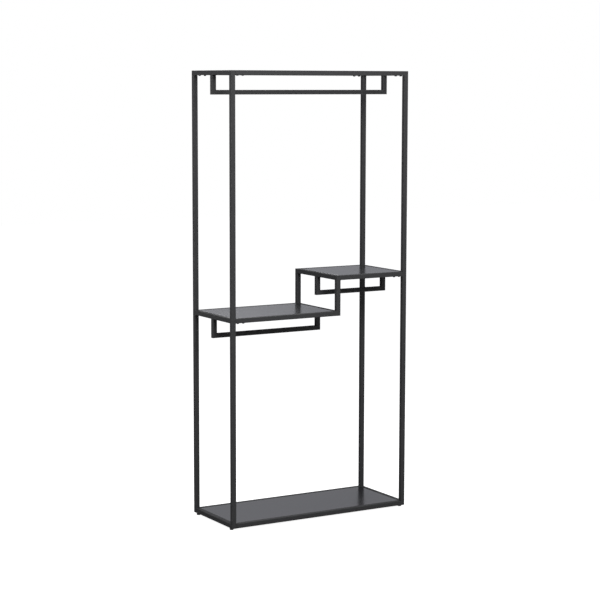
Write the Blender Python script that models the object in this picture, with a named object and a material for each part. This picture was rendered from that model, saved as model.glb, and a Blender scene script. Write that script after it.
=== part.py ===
"""Free-standing clothes rack of square steel tube, with a stepped middle shelf and three hanging rails.

Two welded end frames stand in the YZ plane.  Rails along X slide over short tenons on the uprights,
and each of those joints is locked from below by two button head bolts.  The middle unit steps up
from a left shelf to a right shelf.  Metres, +Z up, the front faces -Y, the floor is Z = 0.
"""

import math

import bmesh
import bpy
from mathutils import Vector

# ---------------------------------------------------------------- driving dimensions (metres)
OVERALL_WIDTH = 0.850
OVERALL_DEPTH = 0.345
FRAME_HEIGHT = 1.870

TUBE_SIZE = 0.019
TUBE_WALL = 0.0012
TUBE_CORNER_RADIUS = 0.0018

LEFT_SHELF_TOP = 0.8695  # above the lower end of the uprights
SHELF_STEP = 0.150  # right shelf above left shelf
RISER_FROM_LEFT = 0.509  # left outer face to the centre of the risers
HOOK_GAP = 0.060  # free height between a hanging rail and the frame above it

PANEL_SHEET = 0.0015
PANEL_LIP = 0.012  # height of the folded edge, sheet included
PANEL_RECESS = 0.0005  # panel top below the top of its frame
PANEL_FOLD_RADIUS = 0.0009  # outer radius of the folded edge

TENON_LENGTH = 0.052
TENON_ROOT = 0.0006  # how far a tenon is let into the upright's wall
BOLT_FIRST = 0.0138  # upright face to the first bolt
BOLT_PITCH = 0.025
BOLT_RADIUS = 0.003
BOLT_SHANK = 0.012
BOLT_HEAD_RADIUS = 0.00525
BOLT_HEAD_HEIGHT = 0.0033
BOLT_HEAD_BAND = 0.0012  # upright rim under the dome
BOLT_HEAD_TOP_RADIUS = 0.0034
BOLT_SOCKET_FLATS = 0.004
BOLT_SOCKET_DEPTH = 0.002
BOLT_HOLE_EXTRA_DEPTH = 0.0015
SUNK_HEAD_RADIUS = 0.0055  # the bolts under the base, flush with its lower face

GROUND_CLEARANCE = 0.0085  # floor to the lower face of the frame
FOOT_FROM_UPRIGHT = 0.0058  # inner face of the upright to the axis of the foot
FOOT_RADIUS = 0.008
FOOT_EDGE = 0.0012
STUD_RADIUS = 0.003
STUD_TIP_CLEARANCE = 0.0028  # stud tip to the upper wall of its rail
FOOT_NUT_FLATS = 0.010
FOOT_NUT_HEIGHT = 0.005

FIT_GAP = 0.0003  # between pieces that touch
LEAST_BORE_RADIUS = 0.0002
CORNER_STEPS = 4  # facets in each rounded corner of a tube
ROUND_SIDES = 18  # a multiple of six, for the hexagon sockets
SHANK_SIDES = 12
DOME_STEPS = 3
SMOOTH_ANGLE = math.radians(35.0)

# ---------------------------------------------------------------- worked out from the above
HALF_TUBE = TUBE_SIZE / 2.0
END_X = OVERALL_WIDTH / 2.0 - HALF_TUBE  # centre of the end frames
SIDE_Y = OVERALL_DEPTH / 2.0 - HALF_TUBE  # centre of the front and back tubes
FRAME_BOTTOM = GROUND_CLEARANCE
FRAME_TOP = FRAME_BOTTOM + FRAME_HEIGHT
RISER_X = RISER_FROM_LEFT - OVERALL_WIDTH / 2.0

TOP_LEVEL = FRAME_TOP - HALF_TUBE  # centre heights of the tubes along X and Y
BASE_LEVEL = FRAME_BOTTOM + HALF_TUBE
LEFT_LEVEL = FRAME_BOTTOM + LEFT_SHELF_TOP - HALF_TUBE
RIGHT_LEVEL = LEFT_LEVEL + SHELF_STEP
HANGING_DROP = TUBE_SIZE + HOOK_GAP  # centre of a frame rail to the centre of its hanging rail

BORE_SIZE = TUBE_SIZE - 2.0 * TUBE_WALL
BORE_CORNER_RADIUS = max(TUBE_CORNER_RADIUS - TUBE_WALL, LEAST_BORE_RADIUS)
TENON_SIZE = BORE_SIZE - 2.0 * FIT_GAP
HOLE_RADIUS = BOLT_RADIUS + FIT_GAP
STUD_HOLE_RADIUS = STUD_RADIUS + FIT_GAP
SUNK_MOUTH_RADIUS = SUNK_HEAD_RADIUS + FIT_GAP * math.sqrt(2.0)  # the 45 degree cone cut for a flush head
STUD_LENGTH = TUBE_SIZE - TUBE_WALL - STUD_TIP_CLEARANCE  # above the lower face of the frame

X_AXIS = Vector((1.0, 0.0, 0.0))
Y_AXIS = Vector((0.0, 1.0, 0.0))
Z_AXIS = Vector((0.0, 0.0, 1.0))

ENDS = {"left": -1.0, "right": 1.0}
SIDES = {"front": -1.0, "back": 1.0}


# ---------------------------------------------------------------- materials
def make_material(name, colour, roughness, metallic):
    material = bpy.data.materials.new(name)
    material.use_nodes = True
    shader = material.node_tree.nodes["Principled BSDF"]
    shader.inputs["Base Color"].default_value = (*colour, 1.0)
    shader.inputs["Roughness"].default_value = roughness
    shader.inputs["Metallic"].default_value = metallic
    return material


# ---------------------------------------------------------------- mesh helpers
def rounded_square(size, radius):
    """Points of a square with round corners, counterclockwise, about its own centre."""
    points = []
    inset = size / 2.0 - radius
    for corner, (sign_u, sign_v) in enumerate(((1, 1), (-1, 1), (-1, -1), (1, -1))):
        for step in range(CORNER_STEPS + 1):
            angle = math.pi / 2.0 * (corner + step / CORNER_STEPS)
            u = sign_u * inset + radius * math.cos(angle)
            v = sign_v * inset + radius * math.sin(angle)
            points.append((u, v))
    return points


def path_frames(path, side_axis):
    """For each corner of a path, the direction that section heights follow, stretched at mitres."""
    normals = []
    for start, end in zip(path[:-1], path[1:]):
        direction = (end - start).normalized()
        normals.append(direction.cross(side_axis).normalized())
    frames = [normals[0]]
    for before, after in zip(normals[:-1], normals[1:]):
        frames.append((before + after) / (1.0 + before.dot(after)))
    frames.append(normals[-1])
    return frames


def add_loops(mesh, path, side_axis, section):
    """One loop of vertices round each point of the path."""
    loops = []
    for point, height_axis in zip(path, path_frames(path, side_axis)):
        loop = [mesh.verts.new(point + side_axis * u + height_axis * v) for u, v in section]
        loops.append(loop)
    return loops


def skin_loops(mesh, first, second):
    """Quads between two loops of the same length."""
    count = len(first)
    for index in range(count):
        following = (index + 1) % count
        corners = (first[index], first[following], second[following], second[index])
        mesh.faces.new(corners)


def finish_mesh(mesh, name):
    bmesh.ops.recalc_face_normals(mesh, faces=mesh.faces)
    data = bpy.data.meshes.new(name)
    mesh.to_mesh(data)
    mesh.free()
    data.shade_smooth()
    data.set_sharp_from_angle(angle=SMOOTH_ANGLE)
    return data


def add_object(name, data, material, location=(0.0, 0.0, 0.0)):
    data.materials.append(material)
    part = bpy.data.objects.new(name, data)
    part.location = location
    bpy.context.scene.collection.objects.link(part)
    return part


def add_cutter(name, mesh, location=(0.0, 0.0, 0.0)):
    data = bpy.data.meshes.new(name)
    bmesh.ops.recalc_face_normals(mesh, faces=mesh.faces)
    mesh.to_mesh(data)
    mesh.free()
    cutter = bpy.data.objects.new(name, data)
    cutter.location = location
    cutter.hide_render = True
    cutter.display_type = "WIRE"
    bpy.context.scene.collection.objects.link(cutter)
    return cutter


def add_boolean(part, tool, operation):
    modifier = part.modifiers.new(tool.name, "BOOLEAN")
    modifier.operation = operation
    modifier.solver = "EXACT"
    modifier.object = tool


def tube_mesh(name, path, side_axis, closed_end=False):
    """A hollow square tube along a path, open at both ends or with a plate at its last end."""
    mesh = bmesh.new()
    outer = add_loops(mesh, path, side_axis, rounded_square(TUBE_SIZE, TUBE_CORNER_RADIUS))
    bore_path = list(path)
    if closed_end:
        last_direction = (path[-1] - path[-2]).normalized()
        bore_path[-1] = path[-1] - last_direction * TUBE_WALL
    inner = add_loops(mesh, bore_path, side_axis, rounded_square(BORE_SIZE, BORE_CORNER_RADIUS))
    for loops in (outer, inner):
        for first, second in zip(loops[:-1], loops[1:]):
            skin_loops(mesh, first, second)
    skin_loops(mesh, outer[0], inner[0])
    if closed_end:
        mesh.faces.new(outer[-1])
        mesh.faces.new(inner[-1])
    else:
        skin_loops(mesh, outer[-1], inner[-1])
    return finish_mesh(mesh, name)


def add_box(mesh, low, high):
    corners = bmesh.ops.create_cube(mesh, size=1.0)["verts"]
    low = Vector(low)
    high = Vector(high)
    size = high - low
    centre = (low + high) / 2.0
    for corner in corners:
        corner.co = Vector((corner.co.x * size.x, corner.co.y * size.y, corner.co.z * size.z)) + centre


def add_cylinder(mesh, centre, low_z, high_z, radius, sides):
    made = bmesh.ops.create_cone(
        mesh, cap_ends=True, segments=sides, radius1=radius, radius2=radius, depth=high_z - low_z
    )
    middle = Vector((centre[0], centre[1], (low_z + high_z) / 2.0))
    bmesh.ops.translate(mesh, verts=made["verts"], vec=middle)


def turned_loops(mesh, profile, sides):
    """Vertex loops round Z for each (radius, height) of a profile."""
    loops = []
    for radius, height in profile:
        loop = []
        for index in range(sides):
            angle = 2.0 * math.pi * index / sides
            loop.append(mesh.verts.new((radius * math.cos(angle), radius * math.sin(angle), height)))
        loops.append(loop)
    return loops


def turned_solid(mesh, profile, sides, centre=(0.0, 0.0, 0.0)):
    """A solid of revolution closed by a flat face at each end of its profile."""
    loops = turned_loops(mesh, profile, sides)
    bmesh.ops.translate(mesh, verts=[corner for loop in loops for corner in loop], vec=centre)
    for first, second in zip(loops[:-1], loops[1:]):
        skin_loops(mesh, first, second)
    mesh.faces.new(loops[0])
    mesh.faces.new(loops[-1])


def hexagon_radius(flats):
    return flats / math.sqrt(3.0)


def join_ring_to_hexagon(mesh, ring, hexagon):
    """Flat faces between a hexagon and a ring about the same centre, either one inside the other."""
    share = len(ring) // 6
    middle = share // 2
    for index in range(6):
        start_corner = hexagon[index]
        end_corner = hexagon[(index + 1) % 6]
        arc = [ring[(share * index + step) % len(ring)] for step in range(share + 1)]
        for step in range(share):
            corner = start_corner if step < middle else end_corner
            mesh.faces.new((arc[step], arc[step + 1], corner))
        mesh.faces.new((arc[middle], end_corner, start_corner))


# ---------------------------------------------------------------- bolted joints
def bolt_positions(inner_face, direction):
    """X of the two bolts of a joint, measured from the upright's inner face."""
    return [inner_face + direction * (BOLT_FIRST + BOLT_PITCH * index) for index in range(2)]


def end_joint(end):
    """X of an upright's inner face, and the direction from it toward the middle of the rack."""
    sign = ENDS[end]
    return sign * (END_X - HALF_TUBE), -sign


def joint_levels(end):
    """Names and centre heights of the bolted joints of an upright, from the floor up."""
    shelf_level = LEFT_LEVEL if end == "left" else RIGHT_LEVEL
    return {"base": BASE_LEVEL, "shelf": shelf_level, "top": TOP_LEVEL}


def hole_profile(level_name):
    """Radius and height above the rail's lower face of a bolt hole, which is countersunk under the base."""
    top = (HOLE_RADIUS, BOLT_SHANK + BOLT_HOLE_EXTRA_DEPTH)
    if level_name != "base":
        return (HOLE_RADIUS, -TUBE_WALL), top
    cone_height = SUNK_MOUTH_RADIUS - HOLE_RADIUS
    return (SUNK_MOUTH_RADIUS + TUBE_WALL, -TUBE_WALL), (HOLE_RADIUS, cone_height), top


def hole_cutter(name, end, side, level_name, level):
    """The two bolt holes of a joint, through the rail's lower wall and into the tenon."""
    mesh = bmesh.new()
    inner_face, direction = end_joint(end)
    for x in bolt_positions(inner_face, direction):
        centre = Vector((x, SIDES[side] * SIDE_Y, level - HALF_TUBE))
        turned_solid(mesh, hole_profile(level_name), SHANK_SIDES, centre)
    return add_cutter(name, mesh)


def tenon_tool(name, end, side, level):
    """The tenon that is welded to an upright and fills the end of a rail."""
    mesh = bmesh.new()
    inner_face, direction = end_joint(end)
    root = inner_face - direction * TENON_ROOT
    tip = inner_face + direction * TENON_LENGTH
    y = SIDES[side] * SIDE_Y
    half = TENON_SIZE / 2.0
    low = (min(root, tip), y - half, level - half)
    high = (max(root, tip), y + half, level + half)
    add_box(mesh, low, high)
    return add_cutter(name, mesh)


def dome_profile():
    """Radius and height round the domed edge of a bolt head, from its rim to its flat top."""
    rise = BOLT_HEAD_HEIGHT - BOLT_HEAD_BAND
    spread = BOLT_HEAD_RADIUS - BOLT_HEAD_TOP_RADIUS
    profile = []
    for step in range(DOME_STEPS + 1):
        angle = math.pi / 2.0 * step / DOME_STEPS
        radius = BOLT_HEAD_TOP_RADIUS + spread * math.cos(angle)
        height = -BOLT_HEAD_BAND - rise * math.sin(angle)
        profile.append((radius, height))
    return profile


def bolt_mesh(name, profile):
    """Bolt, head down, turned from its profile, with a hexagon socket in its last loop."""
    mesh = bmesh.new()
    loops = turned_loops(mesh, profile, ROUND_SIDES)
    for first, second in zip(loops[:-1], loops[1:]):
        skin_loops(mesh, first, second)
    mesh.faces.new(loops[0])
    mouth_height = profile[-1][1]
    floor_height = mouth_height + BOLT_SOCKET_DEPTH
    socket_radius = hexagon_radius(BOLT_SOCKET_FLATS)
    socket = ((socket_radius, mouth_height), (socket_radius, floor_height))
    mouth, floor = turned_loops(mesh, socket, 6)
    skin_loops(mesh, mouth, floor)
    mesh.faces.new(floor)
    join_ring_to_hexagon(mesh, loops[-1], mouth)
    return finish_mesh(mesh, name)


def bolt_meshes(material):
    """The bolt of each joint level: button heads, and flush heads under the base."""
    shank_top = (BOLT_RADIUS, BOLT_SHANK)
    button_profile = [shank_top, (BOLT_RADIUS, 0.0), (BOLT_HEAD_RADIUS, 0.0)] + dome_profile()
    sunk_profile = [shank_top, (BOLT_RADIUS, SUNK_HEAD_RADIUS - BOLT_RADIUS), (SUNK_HEAD_RADIUS, 0.0)]
    button = bolt_mesh("button_head_bolt", button_profile)
    sunk = bolt_mesh("flush_head_bolt", sunk_profile)
    for data in (button, sunk):
        data.materials.append(material)
    return {"base": sunk, "shelf": button, "top": button}


def build_bolts(material):
    meshes = bolt_meshes(material)
    for end in ENDS:
        inner_face, direction = end_joint(end)
        for side, side_sign in SIDES.items():
            for level_name, level in joint_levels(end).items():
                bearing = level - HALF_TUBE
                if level_name != "base":
                    bearing -= FIT_GAP
                for place, x in zip(("outer", "inner"), bolt_positions(inner_face, direction)):
                    name = f"bolt_{level_name}_{side}_{end}_{place}"
                    bolt = bpy.data.objects.new(name, meshes[level_name])
                    bolt.location = (x, side_sign * SIDE_Y, bearing)
                    bpy.context.scene.collection.objects.link(bolt)


# ---------------------------------------------------------------- end frames
def build_upright(end, side, material):
    x = ENDS[end] * END_X
    y = SIDES[side] * SIDE_Y
    path = [Vector((x, y, FRAME_BOTTOM)), Vector((x, y, FRAME_TOP))]
    name = f"upright_{side}_{end}"
    upright = add_object(name, tube_mesh(name, path, X_AXIS, closed_end=True), material)
    for level_name, level in joint_levels(end).items():
        tenon = tenon_tool(f"tenon_{level_name}_{side}_{end}", end, side, level)
        add_boolean(upright, tenon, "UNION")
    for level_name, level in joint_levels(end).items():
        holes = hole_cutter(f"holes_{level_name}_{side}_{end}", end, side, level_name, level)
        add_boolean(upright, holes, "DIFFERENCE")


def build_side_rail(name, x, level, material):
    """A tube along Y between the front and back tubes at one X."""
    reach = SIDE_Y - HALF_TUBE - FIT_GAP
    path = [Vector((x, -reach, level)), Vector((x, reach, level))]
    return add_object(name, tube_mesh(name, path, X_AXIS), material)


def foot_y(side):
    return SIDES[side] * (SIDE_Y - HALF_TUBE - FOOT_FROM_UPRIGHT)


def build_base_side_rail(end, material):
    x = ENDS[end] * END_X
    rail = build_side_rail(f"base_side_rail_{end}", x, BASE_LEVEL, material)
    mesh = bmesh.new()
    for side in SIDES:
        low = FRAME_BOTTOM - TUBE_WALL
        high = FRAME_BOTTOM + 2.0 * TUBE_WALL
        add_cylinder(mesh, (x, foot_y(side)), low, high, STUD_HOLE_RADIUS, SHANK_SIDES)
    add_boolean(rail, add_cutter(f"stud_holes_{end}", mesh), "DIFFERENCE")


def build_end_frame(end, material):
    x = ENDS[end] * END_X
    for side in SIDES:
        build_upright(end, side, material)
    build_side_rail(f"top_side_rail_{end}", x, TOP_LEVEL, material)
    build_side_rail(f"shelf_end_rail_{end}", x, joint_levels(end)["shelf"], material)
    build_base_side_rail(end, material)


# ---------------------------------------------------------------- rails along X
def build_long_rail(name, side, level_name, level, ends_x, material):
    """A tube along X between two places, with bolt holes at each end that a joint holds."""
    y = SIDES[side] * SIDE_Y
    path = [Vector((ends_x["left"], y, level)), Vector((ends_x["right"], y, level))]
    rail = add_object(name, tube_mesh(name, path, Y_AXIS), material)
    for end, end_x in ends_x.items():
        if end_x == rail_end(end):
            holes = bpy.data.objects[f"holes_{level_name}_{side}_{end}"]
            add_boolean(rail, holes, "DIFFERENCE")


def rail_end(end):
    """X where a rail meets the inner face of an upright."""
    inner_face, direction = end_joint(end)
    return inner_face + direction * FIT_GAP


def build_long_rails(material):
    full = {"left": rail_end("left"), "right": rail_end("right")}
    left_part = {"left": rail_end("left"), "right": RISER_X - HALF_TUBE - FIT_GAP}
    right_part = {"left": RISER_X + HALF_TUBE + FIT_GAP, "right": rail_end("right")}
    for side in SIDES:
        build_long_rail(f"top_rail_{side}", side, "top", TOP_LEVEL, full, material)
        build_long_rail(f"base_rail_{side}", side, "base", BASE_LEVEL, full, material)
        build_long_rail(f"left_shelf_rail_{side}", side, "shelf", LEFT_LEVEL, left_part, material)
        build_long_rail(f"right_shelf_rail_{side}", side, "shelf", RIGHT_LEVEL, right_part, material)


# ---------------------------------------------------------------- the step between the shelves
def build_step(material):
    for side, side_sign in SIDES.items():
        name = f"riser_{side}"
        y = side_sign * SIDE_Y
        low = Vector((RISER_X, y, LEFT_LEVEL - HALF_TUBE))
        high = Vector((RISER_X, y, RIGHT_LEVEL + HALF_TUBE))
        add_object(name, tube_mesh(name, [low, high], X_AXIS, closed_end=True), material)
    build_side_rail("left_shelf_step_rail", RISER_X, LEFT_LEVEL, material)
    build_side_rail("right_shelf_step_rail", RISER_X, RIGHT_LEVEL, material)


# ---------------------------------------------------------------- hanging rails
def build_hanging_rail(name, left_x, right_x, frame_level, material):
    """A rail with a leg at each end, which meets the side rails above it from below."""
    leg_top = frame_level - HALF_TUBE - FIT_GAP
    rail_level = frame_level - HANGING_DROP
    path = [
        Vector((left_x, 0.0, leg_top)),
        Vector((left_x, 0.0, rail_level)),
        Vector((right_x, 0.0, rail_level)),
        Vector((right_x, 0.0, leg_top)),
    ]
    add_object(name, tube_mesh(name, path, Y_AXIS), material)


def build_hanging_rails(material):
    build_hanging_rail("hanging_rail_top", -END_X, END_X, TOP_LEVEL, material)
    build_hanging_rail("hanging_rail_left", -END_X, RISER_X, LEFT_LEVEL, material)
    build_hanging_rail("hanging_rail_right", RISER_X, END_X, RIGHT_LEVEL, material)


# ---------------------------------------------------------------- panels
def build_panel(name, left_x, right_x, level, material):
    """A sheet with its four edges folded down, set between the four tubes of its frame."""
    low_x = left_x + HALF_TUBE + FIT_GAP
    high_x = right_x - HALF_TUBE - FIT_GAP
    half_y = SIDE_Y - HALF_TUBE - FIT_GAP
    top = level + HALF_TUBE - PANEL_RECESS
    mesh = bmesh.new()
    add_box(mesh, (low_x, -half_y, top - PANEL_LIP), (high_x, half_y, top))
    mesh.faces.ensure_lookup_table()
    under = min(mesh.faces, key=lambda face: face.calc_center_median().z)
    bmesh.ops.inset_region(mesh, faces=[under], thickness=PANEL_SHEET, use_even_offset=True)
    moved = bmesh.ops.extrude_discrete_faces(mesh, faces=[under])["faces"]
    depth = PANEL_LIP - PANEL_SHEET
    bmesh.ops.translate(mesh, verts=moved[0].verts, vec=Z_AXIS * depth)
    top_edges = []
    for edge in mesh.edges:
        if all(abs(corner.co.z - top) < FIT_GAP for corner in edge.verts):
            top_edges.append(edge)
    bmesh.ops.bevel(
        mesh, geom=top_edges, offset=PANEL_FOLD_RADIUS, segments=2, profile=0.5, affect="EDGES"
    )
    add_object(name, finish_mesh(mesh, name), material)


def build_panels(material):
    build_panel("base_panel", -END_X, END_X, BASE_LEVEL, material)
    build_panel("left_shelf_panel", -END_X, RISER_X, LEFT_LEVEL, material)
    build_panel("right_shelf_panel", RISER_X, END_X, RIGHT_LEVEL, material)


# ---------------------------------------------------------------- levelling feet
def foot_mesh():
    """Plastic glide on a threaded stud, with the frame's lower face at Z = 0."""
    mesh = bmesh.new()
    floor = -GROUND_CLEARANCE
    profile = (
        (FOOT_RADIUS - FOOT_EDGE, floor),
        (FOOT_RADIUS, floor + FOOT_EDGE),
        (FOOT_RADIUS, -FIT_GAP - FOOT_EDGE / 2.0),
        (FOOT_RADIUS - FOOT_EDGE / 2.0, -FIT_GAP),
        (STUD_RADIUS, -FIT_GAP),
        (STUD_RADIUS, STUD_LENGTH - FOOT_EDGE / 2.0),
        (STUD_RADIUS - FOOT_EDGE / 2.0, STUD_LENGTH),
    )
    turned_solid(mesh, profile, ROUND_SIDES)
    return finish_mesh(mesh, "levelling_foot")


def foot_nut_mesh():
    """Hexagon weld nut with its lower face at Z = 0."""
    mesh = bmesh.new()
    corner_radius = hexagon_radius(FOOT_NUT_FLATS)
    hexagons = turned_loops(mesh, ((corner_radius, 0.0), (corner_radius, FOOT_NUT_HEIGHT)), 6)
    hole = ((STUD_HOLE_RADIUS, 0.0), (STUD_HOLE_RADIUS, FOOT_NUT_HEIGHT))
    rings = turned_loops(mesh, hole, SHANK_SIDES)
    skin_loops(mesh, hexagons[0], hexagons[1])
    skin_loops(mesh, rings[0], rings[1])
    for hexagon, ring in zip(hexagons, rings):
        join_ring_to_hexagon(mesh, ring, hexagon)
    return finish_mesh(mesh, "foot_nut")


def build_feet(plastic, steel):
    foot_data = foot_mesh()
    foot_data.materials.append(plastic)
    nut_data = foot_nut_mesh()
    nut_data.materials.append(steel)
    for end, end_sign in ENDS.items():
        for side in SIDES:
            place = (end_sign * END_X, foot_y(side), FRAME_BOTTOM)
            foot = bpy.data.objects.new(f"levelling_foot_{side}_{end}", foot_data)
            foot.location = place
            bpy.context.scene.collection.objects.link(foot)
            nut = bpy.data.objects.new(f"foot_nut_{side}_{end}", nut_data)
            nut.location = (place[0], place[1], FRAME_BOTTOM + TUBE_WALL + FIT_GAP)
            bpy.context.scene.collection.objects.link(nut)


def main():
    for old in list(bpy.data.objects):
        bpy.data.objects.remove(old, do_unlink=True)
    frame_coat = make_material("black_powder_coat", (0.035, 0.036, 0.038), 0.55, 0.0)
    panel_coat = make_material("satin_panel_coat", (0.060, 0.062, 0.068), 0.32, 0.0)
    bolt_finish = make_material("blackened_steel", (0.020, 0.020, 0.022), 0.35, 1.0)
    foot_plastic = make_material("black_plastic", (0.012, 0.012, 0.012), 0.60, 0.0)
    nut_steel = make_material("zinc_plated_steel", (0.60, 0.60, 0.58), 0.35, 1.0)
    for end in ENDS:
        build_end_frame(end, frame_coat)
    build_long_rails(frame_coat)
    build_step(frame_coat)
    build_hanging_rails(frame_coat)
    build_panels(panel_coat)
    build_bolts(bolt_finish)
    build_feet(foot_plastic, nut_steel)


main()
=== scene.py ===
"""Finished look of a free-standing clothes rack of square steel tube with a stepped shelf."""

import logging
import math
from dataclasses import dataclass
from enum import Enum
from typing import Callable, Iterable, Sequence

import bmesh
import bpy
from mathutils import Matrix, Vector


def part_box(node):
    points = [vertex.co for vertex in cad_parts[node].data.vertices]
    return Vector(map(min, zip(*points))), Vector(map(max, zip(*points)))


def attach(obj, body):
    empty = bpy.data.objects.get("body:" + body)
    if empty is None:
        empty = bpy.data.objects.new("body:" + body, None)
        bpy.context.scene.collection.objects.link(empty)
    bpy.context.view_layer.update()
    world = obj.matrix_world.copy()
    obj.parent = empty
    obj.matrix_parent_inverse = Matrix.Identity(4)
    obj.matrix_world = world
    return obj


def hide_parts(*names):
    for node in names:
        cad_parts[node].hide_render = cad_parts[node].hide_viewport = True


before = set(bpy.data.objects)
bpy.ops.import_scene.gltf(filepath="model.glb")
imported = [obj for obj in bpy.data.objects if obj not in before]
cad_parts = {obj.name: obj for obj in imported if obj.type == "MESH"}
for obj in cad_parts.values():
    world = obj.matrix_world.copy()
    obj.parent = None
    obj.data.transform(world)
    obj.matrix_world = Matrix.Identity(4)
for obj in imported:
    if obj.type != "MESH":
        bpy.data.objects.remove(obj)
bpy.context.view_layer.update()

log = logging.getLogger("clothes_rack")

EDGE_ATTRIBUTE = "edge"
RACK_BODY = "rack"
SMOOTH_ANGLE = math.radians(32.0)
FULL_TURN, QUARTER_TURN = 2.0 * math.pi, math.pi / 2.0
X_AXIS = Vector((1.0, 0.0, 0.0))
Y_AXIS = Vector((0.0, 1.0, 0.0))
Z_AXIS = Vector((0.0, 0.0, 1.0))
TUBE_WALL = 0.0012
FIT_GAP = 0.0003  # between pieces that touch in the frame
WELD_DEPTH = FIT_GAP + 0.00165  # a welded end fills the round corner of the tube that it meets
WELDED_END_ROUND = 0.0001
SCREW_HEAD_RADIUS = 0.0047  # the screws that hold the hanging rails
BASE_HEAD_RADIUS = 0.0055  # the flush bolts under the base
SUNK_HEAD_DEPTH = 0.00015  # how far a flush head lies below its rail's face
HOLE_SIDES = 40
CUT_ABOVE = 0.001  # how far a cutter stands out of the face that it enters
CUT_DEPTH = 0.004
BOLT_PLACES = ("outer", "inner")
PANEL_NODES = ("base_panel", "left_shelf_panel", "right_shelf_panel")

Colour = tuple[float, float, float]
Outline = list[tuple[float, float, float]]  # across, up and edge value of each point
Profile = Sequence[tuple[float, float]]  # radius and height of each loop
Loop = list[bmesh.types.BMVert]
Socket = bpy.types.NodeSocket
Piece = bpy.types.Object
Material = bpy.types.Material


# ------------------------------------------------------------------ names and places from the frame
class Side(Enum):
    """The front and back of the rack."""

    FRONT = "front"
    BACK = "back"

    @property
    def sign(self) -> float:
        """Sign of Y on this side."""
        return -1.0 if self is Side.FRONT else 1.0


class End(Enum):
    """The two ends of the rack."""

    LEFT = "left"
    RIGHT = "right"

    @property
    def sign(self) -> float:
        """Sign of X at this end."""
        return -1.0 if self is End.LEFT else 1.0


class Level(Enum):
    """The heights at which rails meet the uprights."""

    BASE = "base"
    SHELF = "shelf"
    TOP = "top"


class Slot(Enum):
    """Material slots of the record."""

    FRAME = "frame_coat"
    PANEL = "panel_coat"
    BOLT = "bolt_steel"
    NUT = "nut_steel"
    FOOT = "foot_plastic"


@dataclass(frozen=True)
class Extent:
    """Lowest and highest corner of a piece at rest."""

    low: Vector
    high: Vector

    @classmethod
    def of(cls, node: str) -> "Extent":
        """Extent of a node of the frame."""
        low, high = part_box(node)
        return cls(Vector(low), Vector(high))

    @property
    def centre(self) -> Vector:
        """Middle of the box."""
        return (self.low + self.high) / 2.0

    @property
    def size(self) -> Vector:
        """Edge lengths of the box."""
        return self.high - self.low

    def post_x(self, end: End) -> float:
        """X of an upright's axis, from its outer face, because its box holds its tenons too."""
        outer = self.low.x if end is End.LEFT else self.high.x
        return outer - end.sign * self.size.y / 2.0


# ------------------------------------------------------------------ mesh making
def place_object(name: str, data: bpy.types.ID) -> Piece:
    """Makes an object of a mesh, light or camera and puts it in the scene.

    Args:
        name: The object's name.
        data: What it shows.

    Returns:
        The object, at the world's origin.
    """
    made = bpy.data.objects.new(name, data)
    bpy.context.scene.collection.objects.link(made)
    return made


def rounded_outline(half_x: float, half_y: float, radius: float, band: float, steps: int) -> Outline:
    """Outline of a rectangle with round corners, counterclockwise.

    Args:
        half_x: Half of its width.
        half_y: Half of its height.
        radius: Radius of the corners.
        band: Length of the flat beside each corner over which the edge value fades; that value lightens the
            colour for rubbed coat and for a painted edge highlight.
        steps: Segments in a corner.

    Returns:
        Its points, with edge value 1 on the corners and 0 beyond them.
    """
    points = []
    flat_x, flat_y = half_x - radius, half_y - radius
    for index, (sign_x, sign_y) in enumerate(((1, 1), (-1, 1), (-1, -1), (1, -1))):
        on_x = (sign_x * half_x, sign_y * (flat_y - band), 0.0)
        on_y = (sign_x * (flat_x - band), sign_y * half_y, 0.0)
        before, after = (on_x, on_y) if index % 2 == 0 else (on_y, on_x)
        points.append(before)
        for step in range(steps + 1):
            angle = QUARTER_TURN * (index + step / steps)
            points.append((sign_x * flat_x + radius * math.cos(angle),
                           sign_y * flat_y + radius * math.sin(angle), 1.0))
        points.append(after)
    return points


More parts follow.
